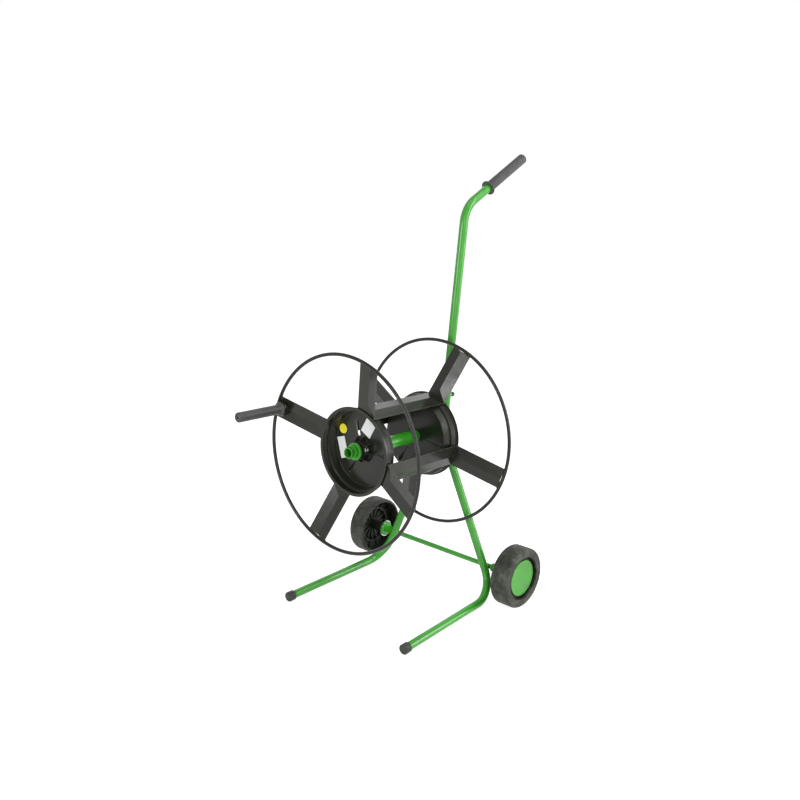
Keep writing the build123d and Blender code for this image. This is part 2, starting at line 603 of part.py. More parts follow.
def arm():
    """One folded strip: front spoke, bar across the reel, and back spoke."""
    bar = fold_block(2 * CORNER_S, ARM_MITRE)
    bar -= Pos(0, 0, -ARM_SHEET) * bar
    bar = Location(Plane(origin=(ARM_R, 0, -CORNER_S), x_dir=(0, 0, 1), z_dir=(1, 0, 0))) * bar
    spoke = fold_block(SPOKE_LENGTH + RIM_IN_R - ARM_END_R, 0)
    spoke -= Pos(0, 0, -ARM_SHEET) * spoke
    spoke = spoke_place() * spoke & rod(RIM_IN_R, 0, 2 * RIM_S)
    under = ARM_R - ARM_SHEET
    bend = outline([(ARM_R, CORNER_S), (under, CORNER_S),
                    (under, CORNER_S + ARM_SHEET * tan(radians(45) - SPOKE_FLARE / 2)),
                    (ARM_R - ARM_SHEET * sin(SPOKE_FLARE), CORNER_S + ARM_SHEET * cos(SPOKE_FLARE))])
    end = spoke + extrude(bend, ARM_WIDTH / 2, both=True)
    return bar + end + rear_copy(end)


def crank_bolt_hole():
    return CRANK_FRAME * rod(CRANK_BOLT_R + WELD_GAP, CORNER_S, RIM_S + CRANK_GRIP_END)


# ---------------------------------------------------------------- reel: hub
def hub_disc(beads):
    """Front pan: a lip, a band under the arms' bars, a step, and a floor with beads."""
    sheet = DISC_SHEET
    bore = HUB_TUBE_R + WELD_GAP
    disc = turned([
        (DISC_LIP_R, DISC_LIP_S), (BAND_R, DISC_LIP_S), (BAND_R, BAND_END_S),
        (DISC_STEP_R, BAND_END_S), (FLOOR_R, FLOOR_S - sheet), (bore, FLOOR_S - sheet),
        (bore, FLOOR_S), (FLOOR_R - sheet, FLOOR_S), (DISC_STEP_R - sheet, BAND_END_S + sheet),
        (BAND_R - sheet, BAND_END_S + sheet), (BAND_R - sheet, DISC_LIP_S + sheet),
        (DISC_LIP_R, DISC_LIP_S + sheet)], DISC_ROUND)
    hose_side = rod(FLOOR_R, FLOOR_S - sheet - DISC_BEAD_LARGE_R, FLOOR_S)
    disc += spin(floor_bead(0) & hose_side, DISC_BEADS, DISC_BEAD_ANGLE)[:beads]
    disc -= spin(floor_bead(DISC_BEAD_WALL), DISC_BEADS, DISC_BEAD_ANGLE)[:beads]
    return disc - boss_rivet_places(rod(BOSS_RIVET_R + WELD_GAP, -sheet - CUT, CUT))


def floor_bead(wall):
    """Tapered bead with round ends along a radius, or the hollow inside its wall."""
    small = DISC_BEAD_SMALL_R - wall
    large = DISC_BEAD_LARGE_R - wall
    bead = Cone(small, large, DISC_BEAD_LENGTH, align=(Align.CENTER, Align.CENTER, Align.MIN))
    bead += Sphere(small) + Pos(0, 0, DISC_BEAD_LENGTH) * Sphere(large)
    return Pos(DISC_BEAD_START, 0, FLOOR_S - DISC_SHEET + DISC_BEAD_SINK) * Rot(0, 90, 0) * bead


def front_hub_disc():
    """The front pan has a slot in place of one bead, and a peg hole, for the hose's end."""
    slot = Pos(SLOT_X, SLOT_UP, 0) * Rot(0, 0, 90 + SLOT_LEAN) * extrude(
        SlotOverall(SLOT_LENGTH, SLOT_WIDTH), RIM_S)
    return hub_disc(DISC_BEADS - 1) - slot - Pos(PEG_HOLE_X, PEG_HOLE_UP, 0) * rod(PEG_HOLE_R, 0, RIM_S)


def hub_tube():
    return rod(HUB_TUBE_R, -HUB_TUBE_END_S, HUB_TUBE_END_S, HUB_TUBE_R - HUB_TUBE_WALL)


def front_hub_boss():
    """Ribbed plastic boss that joins the disc to the hub tube."""
    start = FLOOR_S + WELD_GAP
    end = RIM_S - BOSS_END_IN
    boss = rod(BOSS_R, start, end) + rod(BOSS_FLANGE_R, start, start + BOSS_FLANGE_THICK)
    rib_end = end - BOSS_RIB_TOP_IN
    rib = outline([(BOSS_R - JOIN, start), (BOSS_RIB_R, start),
                   (BOSS_RIB_R, start + BOSS_FLANGE_THICK), (BOSS_R, rib_end),
                   (BOSS_R - JOIN, rib_end)])
    boss += spin(extrude(rib, BOSS_RIB_THICK / 2, both=True), BOSS_RIBS, BOSS_FIRST_RIB)
    boss -= rod(HUB_TUBE_R + WELD_GAP, start, end)
    boss -= boss_screw_place() * rod(BOSS_SCREW_R + WELD_GAP, 0, BOSS_R + CUT)
    rivet_hole = rod(BOSS_RIVET_R + WELD_GAP, -CUT, WELD_GAP + BOSS_FLANGE_THICK + CUT)
    return boss - boss_rivet_places(rivet_hole)


def boss_screw_place():
    """Where the boss's set screw points out, from the hub tube's axis."""
    return Rot(0, 0, BOSS_SCREW_ANGLE) * Location(Plane(
        origin=(0, 0, BOSS_SCREW_S), x_dir=(0, 0, 1), z_dir=(1, 0, 0)))


def boss_screw():
    """Socket-head screw through the boss's wall onto the hub tube."""
    seat = BOSS_R + WELD_GAP
    screw = rod(BOSS_SCREW_R, HUB_TUBE_R + WELD_GAP, seat)
    screw += rounded_rod(BOSS_SCREW_HEAD_R, seat, seat + BOSS_SCREW_HEAD, BOSS_SCREW_BEVEL)
    socket = extrude(RegularPolygon(BOSS_SCREW_SOCKET / 2, 6, major_radius=False),
                     BOSS_SCREW_SOCKET_DEEP)
    screw -= Pos(0, 0, seat + BOSS_SCREW_HEAD - BOSS_SCREW_SOCKET_DEEP) * socket
    return boss_screw_place() * screw


def boss_rivet_places(piece):
    """Copies of a piece round the floor between the boss's ribs, its Z out of the floor."""
    first = BOSS_SCREW_ANGLE + 360 / BOSS_RIBS
    return spin(Pos(BOSS_R + BOSS_RIVET_OUT, 0, FLOOR_S) * piece, BOSS_RIBS // 2, first)


def boss_rivets():
    """Rivets through the floor and the boss's flange."""
    bottom = -DISC_SHEET - WELD_GAP
    top = BOSS_FLANGE_THICK + 2 * WELD_GAP
    rivet = rod(BOSS_RIVET_R, bottom, top)
    rivet += rod(BOSS_RIVET_HEAD_R, top, top + BOSS_RIVET_HEAD)
    rivet += rod(BOSS_RIVET_HEAD_R, bottom - BOSS_RIVET_HEAD, bottom)
    return boss_rivet_places(rivet)


def front_bush():
    """Flanged bush in the end of the hub tube, running on the axle."""
    seat = HUB_TUBE_END_S + WELD_GAP
    bush = rod(AXLE_BUSH_R, seat - BUSH_LENGTH, seat + BUSH_FLANGE_THICK)
    bush += rod(BUSH_FLANGE_R, seat, seat + BUSH_FLANGE_THICK)
    return bush - rod(AXLE_R + RUN_CLEAR, seat - BUSH_LENGTH, seat + BUSH_FLANGE_THICK)


# ---------------------------------------------------------------- crank
def crank_spacers():
    """Two spacers, each cut to the slope of the arm, so that the bolt stands along the axis."""
    under = Rot(0, 0, ARMS["crank_arm"]) * spoke_place() * fold_block(SPOKE_LENGTH, 0)
    slope = cos(SPOKE_FLARE)
    outer = CRANK_FRAME * rod(CRANK_SPACER_R, CORNER_S + ARM_RIDGE, RIM_S + CRANK_SPACER_TOP)
    inner = CRANK_FRAME * rod(CRANK_SPACER_R, RIM_S - CRANK_SPACER_BOTTOM, RIM_S)
    sheet_end = Pos(0, 0, (ARM_SHEET + WELD_GAP) / slope) * under
    clear = Pos(0, 0, -WELD_GAP / slope) * under
    outer = (outer & sheet_end) + CRANK_FRAME * rod(CRANK_SPACER_R, RIM_S, RIM_S + CRANK_SPACER_TOP)
    pieces = [outer - crank_bolt_hole(), inner - clear - crank_bolt_hole()]
    return [piece.solids().sort_by(SortBy.VOLUME)[-1] for piece in pieces]


def crank_washer():
    start = RIM_S + CRANK_SPACER_TOP + WELD_GAP
    washer = rod(CRANK_WASHER_R, start, start + CRANK_WASHER_THICK, CRANK_BOLT_R + WELD_GAP)
    return CRANK_FRAME * washer


def crank_bolt():
    """Bolt from the nut on the hose side to its socket head in the recess of the grip."""
    nut_end = RIM_S - CRANK_SPACER_BOTTOM - WELD_GAP - CRANK_NUT_THICK
    head = GRIP_END_S - CRANK_RECESS_DEEP + END_PLAY
    bolt = rod(CRANK_BOLT_R, nut_end - CRANK_BOLT_PAST_NUT, head)
    bolt += rounded_rod(CRANK_HEAD_R, head, head + CRANK_HEAD, CRANK_HEAD_BEVEL)
    socket = extrude(RegularPolygon(CRANK_SOCKET / 2, 6, major_radius=False), CRANK_SOCKET_DEEP)
    return CRANK_FRAME * (bolt - Pos(0, 0, head + CRANK_HEAD - CRANK_SOCKET_DEEP) * socket)


def crank_nut():
    end = RIM_S - CRANK_SPACER_BOTTOM - WELD_GAP
    nut = Pos(0, 0, end - CRANK_NUT_THICK) * extrude(
        RegularPolygon(CRANK_NUT_ACROSS / 2, 6, major_radius=False), CRANK_NUT_THICK)
    return CRANK_FRAME * (nut - rod(CRANK_BOLT_R + WELD_GAP, end - CRANK_NUT_THICK, end))


def crank_grip():
    """Plastic grip that turns on the bolt, with a guard next to the arm."""
    grip = Pos(0, 0, GRIP_START_S) * grip_profile(
        CRANK_GRIP_R, CRANK_GUARD_R, CRANK_GUARD_THICK, CRANK_GUARD_FLARE,
        GRIP_END_S - GRIP_START_S, CRANK_GRIP_ROUND)
    grip -= rod(CRANK_BOLT_R + RUN_CLEAR, GRIP_START_S, GRIP_END_S)
    return CRANK_FRAME * (grip - rod(CRANK_RECESS_R, GRIP_END_S - CRANK_RECESS_DEEP, GRIP_END_S))


# ---------------------------------------------------------------- blank stickers
def sticker(shape, reach, angle, turn=0.0):
    """A thin flat shape on the outer face of the front disc's floor."""
    place = Pos(reach * cos(radians(angle)), reach * sin(radians(angle)), FLOOR_S + WELD_GAP)
    return place * Rot(0, 0, turn) * extrude(shape, STICKER_THICK)


# ---------------------------------------------------------------- the nodes
frame_nodes = {
    "mast_socket": mast_socket(),
    "reel_axle_tube": reel_axle_tube(),
    "wheel_axle_rod": wheel_axle_rod(),
    "mast_tube": mast_tube(),
    "mast_grip": mast_grip(),
    "clamp_screw": clamp_screw(),
    "clamp_knob": clamp_knob(),
}
paired_nodes = {
    "side_tube": right_side_tube(),
    "foot_cap": right_foot_cap(),
    "wheel_collar": right_wheel_collar(),
    "wheel_washer": right_wheel_washer(),
    "push_cap": right_push_cap(),
    "tyre": right_tyre(),
    "wheel_hub": right_wheel_hub(),
    "wheel_bush": right_wheel_bush(),
    "hub_cap": right_hub_cap(),
}
reel_nodes = {
    "front_stop_collar": front_stop_collar(),
    "stop_collar_screw": stop_collar_screw(),
    "rear_stop_ring": rear_stop_ring(),
    "front_rim": front_rim(),
    "back_rim": rear_copy(front_rim()),
    "front_hub_disc": front_hub_disc(),
    "back_hub_disc": rear_copy(hub_disc(DISC_BEADS)),
    "hub_tube": hub_tube(),
    "front_hub_boss": front_hub_boss(),
    "back_hub_boss": rear_copy(front_hub_boss()),
    "boss_screws": group([boss_screw(), rear_copy(boss_screw())]),
    "boss_rivets": group(boss_rivets() + [rear_copy(rivet) for rivet in boss_rivets()]),
    "front_bush": front_bush(),
    "back_bush": rear_copy(front_bush()),
    "crank_spacers": group(crank_spacers()),
    "crank_washer": crank_washer(),
    "crank_bolt": crank_bolt(),
    "crank_nut": crank_nut(),
    "crank_grip": crank_grip(),
    "dot_sticker": sticker(Circle(DOT_R), FLOOR_R - DOT_IN, DOT_ANGLE),
    "panel_sticker": sticker(Rectangle(PANEL_WIDE, PANEL_TALL), FLOOR_R - PANEL_IN, PANEL_ANGLE,
                             PANEL_TURN),
    "diamond_sticker": sticker(Rectangle(DIAMOND_WIDE, DIAMOND_TALL), BOSS_RIB_R + DIAMOND_OUT,
                               DIAMOND_ANGLE, DIAMOND_TURN),
}
for name, angle in ARMS.items():
    reel_nodes[name] = Rot(0, 0, angle) * arm()
reel_nodes["crank_arm"] -= crank_bolt_hole()

nodes = dict(frame_nodes)
for name, shape in paired_nodes.items():
    nodes["right_" + name] = shape
    nodes["left_" + name] = left_copy(shape)
for name, shape in reel_nodes.items():
    nodes[name] = REEL_FRAME * shape

outlines = [shape.bounding_box() for shape in nodes.values()]
MIDDLE_Y = (min(box.min.Y for box in outlines) + max(box.max.Y for box in outlines)) / 2

os.makedirs("parts", exist_ok=True)
for name, shape in nodes.items():
    export_step(Pos(0, -MIDDLE_Y, 0) * shape, f"parts/{name}.step")
print("nodes", len(nodes), "moved along y by", round(-MIDDLE_Y, 3))
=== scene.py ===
import json
from math import asin, cos, degrees, pi, radians, sin

import bmesh
import bpy
from mathutils import Matrix, Vector


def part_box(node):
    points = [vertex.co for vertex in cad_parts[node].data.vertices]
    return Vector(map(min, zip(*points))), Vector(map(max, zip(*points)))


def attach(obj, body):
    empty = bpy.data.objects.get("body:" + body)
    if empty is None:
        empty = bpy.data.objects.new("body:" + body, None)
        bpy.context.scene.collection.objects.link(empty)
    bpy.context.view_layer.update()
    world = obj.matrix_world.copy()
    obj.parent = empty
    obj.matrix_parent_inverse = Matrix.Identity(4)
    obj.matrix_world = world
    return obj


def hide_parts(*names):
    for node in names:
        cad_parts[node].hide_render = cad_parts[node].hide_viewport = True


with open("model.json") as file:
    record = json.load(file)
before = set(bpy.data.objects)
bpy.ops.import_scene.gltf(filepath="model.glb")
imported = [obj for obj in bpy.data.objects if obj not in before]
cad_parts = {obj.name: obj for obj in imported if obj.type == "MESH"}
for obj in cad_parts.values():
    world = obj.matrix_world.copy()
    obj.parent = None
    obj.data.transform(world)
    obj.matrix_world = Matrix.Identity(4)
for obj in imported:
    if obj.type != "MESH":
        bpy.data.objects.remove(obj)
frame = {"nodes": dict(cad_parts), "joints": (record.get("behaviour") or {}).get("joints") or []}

NODES = frame["nodes"]
JOINTS = {joint["name"]: joint for joint in frame["joints"]}
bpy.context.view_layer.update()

# Lengths are in metres and angles in degrees, unless a line says otherwise.

# camera: place from the ground below the wheel axle, direction and lens
CAMERA_FROM_AXLE = (1.5027, -1.8414, 1.1760)
CAMERA_AZIMUTH = 41.657
CAMERA_DOWN = 17.0
CAMERA_LENS = 47.8          # millimetres
CAMERA_SENSOR = 36.0        # millimetres

# stage and world
FLOOR_HALF = 14.0
FLOOR_TONES = (0.80, 0.82)  # darkest and palest grey of the floor
WORLD_LIGHT = 0.30          # the world's strength on the object
FLOOR_GLOW = 0.78           # makes the floor as white as the world where it is seen

# lamps, which all face one point: place, width, height, watts, and where the height points
LAMP_AIM = (0.0, 0.0, 0.42)
UPRIGHT = (0.0, 0.0, 1.0)
LEANING = (-1.3, 0.17, 1.6)  # up and to the left
LAMPS = {
    "front_light": ((-0.45, -2.6, 1.10), 0.40, 0.6, 15.0, UPRIGHT),
    "front_tall": ((0.20, -2.65, 0.85), 0.26, 1.2, 10.0, UPRIGHT),
    "top_light": ((0.3, -0.2, 2.7), 0.9, 0.9, 5.0, UPRIGHT),
    "side_light": ((1.9, 1.65, 0.85), 0.50, 1.5, 18.0, UPRIGHT),
    "rim_strip": ((1.28, 0.62, 1.30), 0.12, 1.9, 13.0, LEANING),
    "front_strip": ((1.65, -1.15, 0.95), 0.22, 1.8, 11.0, UPRIGHT),
    "back_fill": ((-1.5, 2.2, 1.5), 2.0, 2.0, 9.0, UPRIGHT),
}

# colours
WHITE = (1.0, 1.0, 1.0)
GREEN = (0.042, 0.340, 0.020)
CAP_GREEN = (0.066, 0.325, 0.034)
KNOB_GREEN = (0.020, 0.085, 0.030)
BLACK_STEEL = (0.019, 0.021, 0.014)
BLACK_PLASTIC = (0.016, 0.018, 0.013)
GRIP_BLACK = (0.043, 0.043, 0.042)
TYRE_BLACK = (0.036, 0.039, 0.029)
ZINC = (0.62, 0.63, 0.65)
# zinc of the crank bolt and washer, darkened as painted shade of the recess in the crank grip's
# end
RECESS_SHADE_ZINC = (0.16, 0.16, 0.16)
RIM_SHADE = 0.65            # the rims against the rest of the black steel
YELLOW_LABEL = (0.93, 0.82, 0.04)
YELLOW_EDGE = (0.35, 0.30, 0.04)
WHITE_LABEL = (0.93, 0.95, 0.93)
WHITE_EDGE = (0.62, 0.66, 0.62)
PALE_LABEL = (0.90, 0.93, 0.92)
PALE_EDGE = (0.42, 0.48, 0.46)

# edges of wear, and on the powder coats also a painted highlight: how far it reaches, its shade,
# and the bend of the normal where it starts and where it is full
PAINT_WEAR_AND_SHEEN = 0.0011
PLASTIC_WEAR = 0.0009
LABEL_WEAR = 0.0012
PLASTIC_WORN = 1.9          # shade of the edges against the plastic's colour
GRIP_WORN = 3.4
WEAR_STARTS = 0.97          # cosine
WEAR_FULL = 0.80            # cosine
WEAR_SAMPLES = 4

# sockets of a Mix node that are for colours
MIX_FACTOR, MIX_FIRST, MIX_SECOND = 0, 6, 7
MIX_RESULT = 2

# mast grip: the guard disc at its near end, lengthways ridges and a rounded far end
GRIP_RISE = 24.0            # of the grip above level
MAST_GUARD_OUT = 0.0056     # the guard's edge, outside the grip
MAST_GUARD_THICK = 0.0042
MAST_GUARD_FACE = 0.3       # a ring of points on the guard's face, as a share of its radius
MAST_GUARD_STEPS = 8
MAST_GUARD_FLARE = 0.003    # from the guard to the grip
FLARE_BEND_ALONG = 0.35     # a point in the flare, as a share of its length
FLARE_BEND_OUT = 0.12       # and as a share of its height
MAST_GRIP_ROUND = 0.004
MAST_ROUND_STEPS = 6
GRIP_RIDGES = 18
RIDGE_DEPTH = 0.0011
RIDGE_STEPS = 6             # points of the mesh round one ridge
RIDGES_START = 0.003        # the ridges grow over this length
RIDGES_END = 0.004          # and run out over this one

# beads of weld: points round a bead, and the ripples that the passes leave
BEAD_SIDES = 10
BEAD_CIRCLE = [(cos(2 * pi * k / BEAD_SIDES), sin(2 * pi * k / BEAD_SIDES))
               for k in range(BEAD_SIDES)]
LUMP_STEPS = 4              # rings of points along one ripple
SWELL_SHARE = 0.5           # a slow swelling against the ripples
SWELL_WAVES = 3
SWELL_START = 1             # radians
RUN_STEPS = 14              # rings of points along a short bead
RUN_TAPER_START = 0.06      # a short bead's ends taper as a half wave does from here
RUN_TAPER_LENGTH = 0.88     # over this share of it
RUN_RIPPLE = 0.12
RUN_RIPPLE_TURN = 30        # radians from end to end

# welds between the wheel collars and the side tubes
COLLAR_WELD_R = 0.0086
COLLAR_WELD_THICK = 0.0015
COLLAR_WELD_LUMPS = 16
COLLAR_WELD_ROUGH = 0.16

# welds between the four arms and the rims of the reel
ARM_ANGLES = (161.5, 71.5, -18.5, -108.5)
ARM_HALF_WIDTH = 0.025
RIM_IN_R = 0.211            # inside of the rim's wire
RIM_AHEAD = 0.153           # rim planes, from the middle of the reel
SPOKE_WELD_THICK = 0.0017
SPOKE_WELD_IN = 0.0002      # from the inside of the wire towards the axis
SPOKE_WELD_INSET = 0.0012   # from the rim plane towards the middle of the reel
SPOKE_WELD_ON = 2.6         # from the arm's edge over the arm
SPOKE_WELD_PAST = 0.4       # and past that edge

# fine pressed rings round the hub discs
BAND_R = 0.0939
BAND_RINGS_AHEAD = (0.1045, 0.1075, 0.1105)
BAND_RING_THICK = 0.0007
BAND_RING_LUMPS = 24        # sets the number of points only, as these rings are smooth

# places and directions that the pieces are laid out from
REEL_AXIS = Vector(JOINTS["reel_spin"]["axis"])
REEL_MIDDLE = Vector(JOINTS["reel_spin"]["pos_m"])
REEL_ACROSS = Vector((1, 0, 0))
REEL_UP = REEL_AXIS.cross(REEL_ACROSS)


def middle(node):
    """Middle of a node's box."""
    low, high = (Vector(corner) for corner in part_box(node))
    return (low + high) / 2


AXLE_Y = middle("wheel_axle_rod").y


def on_reel(radius, angle, ahead):
    """A point of the reel: distance from its axis, angle in degrees, and place along the axis."""
    turn = radians(angle)
    out = REEL_ACROSS * cos(turn) + REEL_UP * sin(turn)
    return REEL_MIDDLE + out * radius + REEL_AXIS * ahead


# ---------------------------------------------------------------- materials
class NodeTree:
    """A node tree that is built up by short calls."""

    def __init__(self, tree):
        self.tree = tree

    def add(self, kind, **values):
        """A new node with its settings and its unlinked sockets set."""
        node = self.tree.nodes.new(kind)
        for key, value in values.items():
            if hasattr(node, key):
                setattr(node, key, value)
            else:
                node.inputs[key.replace("_", " ")].default_value = value
        return node

    def link(self, source, target):
        self.tree.links.new(source, target)

    def spread(self, source, low, high):
        """Map a 0 to 1 value to a range."""
        node = self.add("ShaderNodeMapRange", To_Min=low, To_Max=high)
        self.link(source, node.inputs["Value"])
        return node.outputs["Result"]

    def seen_rays(self):
        """1 for what the camera sees, straight or in metal and glass, and 0 for light."""
        path = self.add("ShaderNodeLightPath")
        total = path.outputs["Is Camera Ray"]
        for name in ("Is Glossy Ray", "Is Transmission Ray"):
            node = self.add("ShaderNodeMath", operation="MAXIMUM")
            self.link(total, node.inputs[0])
            self.link(path.outputs[name], node.inputs[1])
            total = node.outputs["Value"]
        return total


class Surface(NodeTree):
    """A node material built up from a Principled shader."""

    def __init__(self, name):
        self.material = bpy.data.materials.new(name)
        self.material.use_nodes = True
        super().__init__(self.material.node_tree)
        self.shader = self.tree.nodes["Principled BSDF"]
        self.bump = None

    def set(self, **values):
        """Values of the shader's own sockets."""
        for key, value in values.items():
            self.shader.inputs[key.replace("_", " ")].default_value = value

    def noise(self, scale, detail=4.0, roughness=0.55, stretch=None):
        """Noise at a scale per metre, or at its own scale on each axis with a stretch."""
        node = self.add("ShaderNodeTexNoise", Scale=scale, Detail=detail, Roughness=roughness)
        place = self.add("ShaderNodeTexCoord").outputs["Object"]
        if stretch:
            mapping = self.add("ShaderNodeMapping", Scale=stretch)
            self.link(place, mapping.inputs["Vector"])
            place = mapping.outputs["Vector"]
        self.link(place, node.inputs["Vector"])
        return node.outputs["Fac"]

    def shades(self, source, colour, *stops):
        """Colour ramp through shades of one colour, from (place, shade) stops."""
        node = self.add("ShaderNodeValToRGB")
        elements = node.color_ramp.elements
        while len(elements) < len(stops):
            elements.new(0.5)
        for element, (where, factor) in zip(elements, stops):
            element.position = where
            element.color = (*shade(colour, factor), 1.0)
        self.link(source, node.inputs["Fac"])
        return node.outputs["Color"]

    def edges(self, reach):
        """1 on outer edges and 0 on flat places, from the angle of a bevelled normal."""
        bevel = self.add("ShaderNodeBevel", Radius=reach, samples=WEAR_SAMPLES)
        plain = self.add("ShaderNodeNewGeometry").outputs["Normal"]
        dot = self.add("ShaderNodeVectorMath", operation="DOT_PRODUCT")
        self.link(bevel.outputs["Normal"], dot.inputs[0])
        self.link(plain, dot.inputs[1])
        node = self.add("ShaderNodeMapRange", From_Min=WEAR_STARTS, From_Max=WEAR_FULL)
        self.link(dot.outputs["Value"], node.inputs["Value"])
        return node.outputs["Result"]

    def colour(self, source):
        self.link(source, self.shader.inputs["Base Color"])

    def edge_colour(self, source, reach, edge_tone):
        """A colour that turns into another one on the edges."""
        node = self.add("ShaderNodeMix", data_type="RGBA")
        self.link(self.edges(reach), node.inputs[MIX_FACTOR])
        self.link(source, node.inputs[MIX_FIRST])
        node.inputs[MIX_SECOND].default_value = (*edge_tone, 1.0)
        self.colour(node.outputs[MIX_RESULT])

    def rough(self, source, low, high):
        """Roughness from low to high."""
        self.link(self.spread(source, low, high), self.shader.inputs["Roughness"])

    def height(self, source, depth):
        """Bump of a real depth, on top of the bumps before it."""
        node = self.add("ShaderNodeBump", Strength=1.0, Distance=depth)
        self.link(source, node.inputs["Height"])
        if self.bump:
            self.link(self.bump, node.inputs["Normal"])
        self.bump = node.outputs["Normal"]
        self.link(self.bump, self.shader.inputs["Normal"])


def shade(colour, factor):
    """A lighter or darker shade of a colour."""
    return tuple(min(1.0, part * factor) for part in colour)


def powder_coat(name, colour, roughness, peel, shine, coat, edge_tone):
    """Baked powder coat: orange peel of a depth, faint patches, and paler edges, which are wear
    with a painted highlight along them.
    """
    paint = Surface(name)
    patches = paint.shades(paint.noise(9.0, detail=3.0), colour, (0.32, 0.88), (0.70, 1.10))
    paint.edge_colour(patches, PAINT_WEAR_AND_SHEEN, shade(colour, edge_tone))
    paint.rough(paint.noise(60.0, detail=5.0), low=roughness - 0.06, high=roughness + 0.07)
    paint.height(paint.noise(520.0, detail=2.0), depth=peel)
    paint.set(Coat_Weight=coat, Coat_Roughness=0.08, Specular_IOR_Level=shine)
    return paint.material


def moulded_plastic(name, colour, roughness, patch_scale=14.0, scuffed=1.18,
                    grain_scale=1040.0, grain_depth=0.00006):
    """Moulded plastic: fine grain, patches up to the scuffed shade, and paler edges."""
    plastic = Surface(name)
    patches = plastic.shades(plastic.noise(patch_scale), colour, (0.36, 0.85), (0.66, scuffed))
    plastic.edge_colour(patches, PLASTIC_WEAR, shade(colour, PLASTIC_WORN))
    plastic.rough(plastic.noise(85.0), low=roughness - 0.07, high=roughness + 0.08)
    plastic.height(plastic.noise(grain_scale, detail=3.0), depth=grain_depth)
    plastic.set(Specular_IOR_Level=0.3)
    return plastic.material


def grip_plastic(name):
    """Soft grip plastic: fine grain, rubbed paler on the ridges."""
    grip = Surface(name)
    patches = grip.shades(grip.noise(22.0), GRIP_BLACK, (0.3, 0.80), (0.7, 1.25))
    grip.edge_colour(patches, PLASTIC_WEAR, shade(GRIP_BLACK, GRIP_WORN))
    grip.rough(grip.noise(110.0), low=0.40, high=0.58)
    grip.height(grip.noise(1400.0, detail=2.0), depth=0.00004)
    return grip.material


def tyre_rubber(name):
    """Dull tyre plastic with scuffed tread, fine grain and shallow dents."""
    tyre = Surface(name)
    scuffs = tyre.noise(34.0, detail=8.0, roughness=0.72)
    tyre.colour(tyre.shades(scuffs, TYRE_BLACK, (0.40, 0.40), (0.52, 1.0), (0.66, 2.8)))
    tyre.rough(tyre.noise(45.0, detail=5.0), low=0.50, high=0.74)
    tyre.height(tyre.noise(240.0), depth=0.00016)
    tyre.height(tyre.noise(42.0, detail=3.0), depth=0.00030)
    tyre.set(Specular_IOR_Level=0.35)
    return tyre.material


def zinc_plate(name, colour):
    """Zinc plate: fine brushed grain and cloudy shine."""
    metal = Surface(name)
    metal.colour(metal.shades(metal.noise(160.0), colour, (0.3, 0.80), (0.7, 1.10)))
    metal.rough(metal.noise(420.0, stretch=(1.0, 1.0, 9.0)), low=0.16, high=0.34)
    metal.height(metal.noise(900.0, detail=2.0), depth=0.00002)
    metal.set(Metallic=1.0)
    return metal.material


def label_film(name, colour, edge):
    """Label film: faint paper tone, slightly rubbed edge."""
    film = Surface(name)
    tone = film.shades(film.noise(120.0, detail=5.0), colour, (0.25, 0.93), (0.75, 1.0))
    film.edge_colour(tone, LABEL_WEAR, edge)
    film.rough(film.noise(200.0, detail=3.0), low=0.25, high=0.42)
    film.height(film.noise(700.0, detail=2.0), depth=0.00003)
    return film.material


# ---------------------------------------------------------------- stage, lights and camera
def make_stage():
    """Seamless pale floor."""
    size = FLOOR_HALF
    mesh = bpy.data.meshes.new("floor")
    mesh.from_pydata([(-size, -size, 0), (size, -size, 0), (size, size, 0), (-size, size, 0)],
                     [], [(0, 1, 2, 3)])
    floor = bpy.data.objects.new("floor", mesh)
    bpy.context.scene.collection.objects.link(floor)
    paper = Surface("floor_paper")
    darkest, palest = FLOOR_TONES
    paper.colour(paper.shades(paper.noise(2.0), WHITE, (0.0, darkest), (1.0, palest)))
    paper.set(Roughness=0.9, Specular_IOR_Level=0.1, Emission_Color=(*WHITE, 1.0))
    glow = paper.spread(paper.seen_rays(), 0.0, FLOOR_GLOW)
    paper.link(glow, paper.shader.inputs["Emission Strength"])
    floor.data.materials.append(paper.material)


def make_world():
    """Plain white world, weaker as a light than as it is seen."""
    world = bpy.data.worlds.new("studio")
    world.use_nodes = True
    bpy.context.scene.world = world
    studio = NodeTree(world.node_tree)
    background = studio.tree.nodes["Background"]
    background.inputs["Color"].default_value = (*WHITE, 1.0)
    strength = studio.spread(studio.seen_rays(), WORLD_LIGHT, 1.0)
    studio.link(strength, background.inputs["Strength"])


def make_lamps():
    """The lamps of the table above, turned so that their height points the way it says."""
    for name, (at, wide, tall, power, upward) in LAMPS.items():
        light = bpy.data.lights.new(name, "AREA")
        light.shape = "RECTANGLE"
        light.size = wide
        light.size_y = tall
        light.energy = power
        lamp = bpy.data.objects.new(name, light)
        bpy.context.scene.collection.objects.link(lamp)
        lamp.location = at
        back = (Vector(at) - Vector(LAMP_AIM)).normalized()
        side = Vector(upward).cross(back).normalized()
        lamp.rotation_euler = Matrix((side, back.cross(side), back)).transposed().to_euler()


def make_camera():
    """The camera, which looks down at the reel from the front right."""
    camera = bpy.data.objects.new("camera", bpy.data.cameras.new("camera"))
    bpy.context.scene.collection.objects.link(camera)
    camera.location = Vector(CAMERA_FROM_AXLE) + Vector((0, AXLE_Y, 0))
    camera.rotation_euler = (radians(90 - CAMERA_DOWN), 0, radians(CAMERA_AZIMUTH))
    camera.data.lens = CAMERA_LENS
    camera.data.sensor_width = CAMERA_SENSOR
    bpy.context.scene.camera = camera


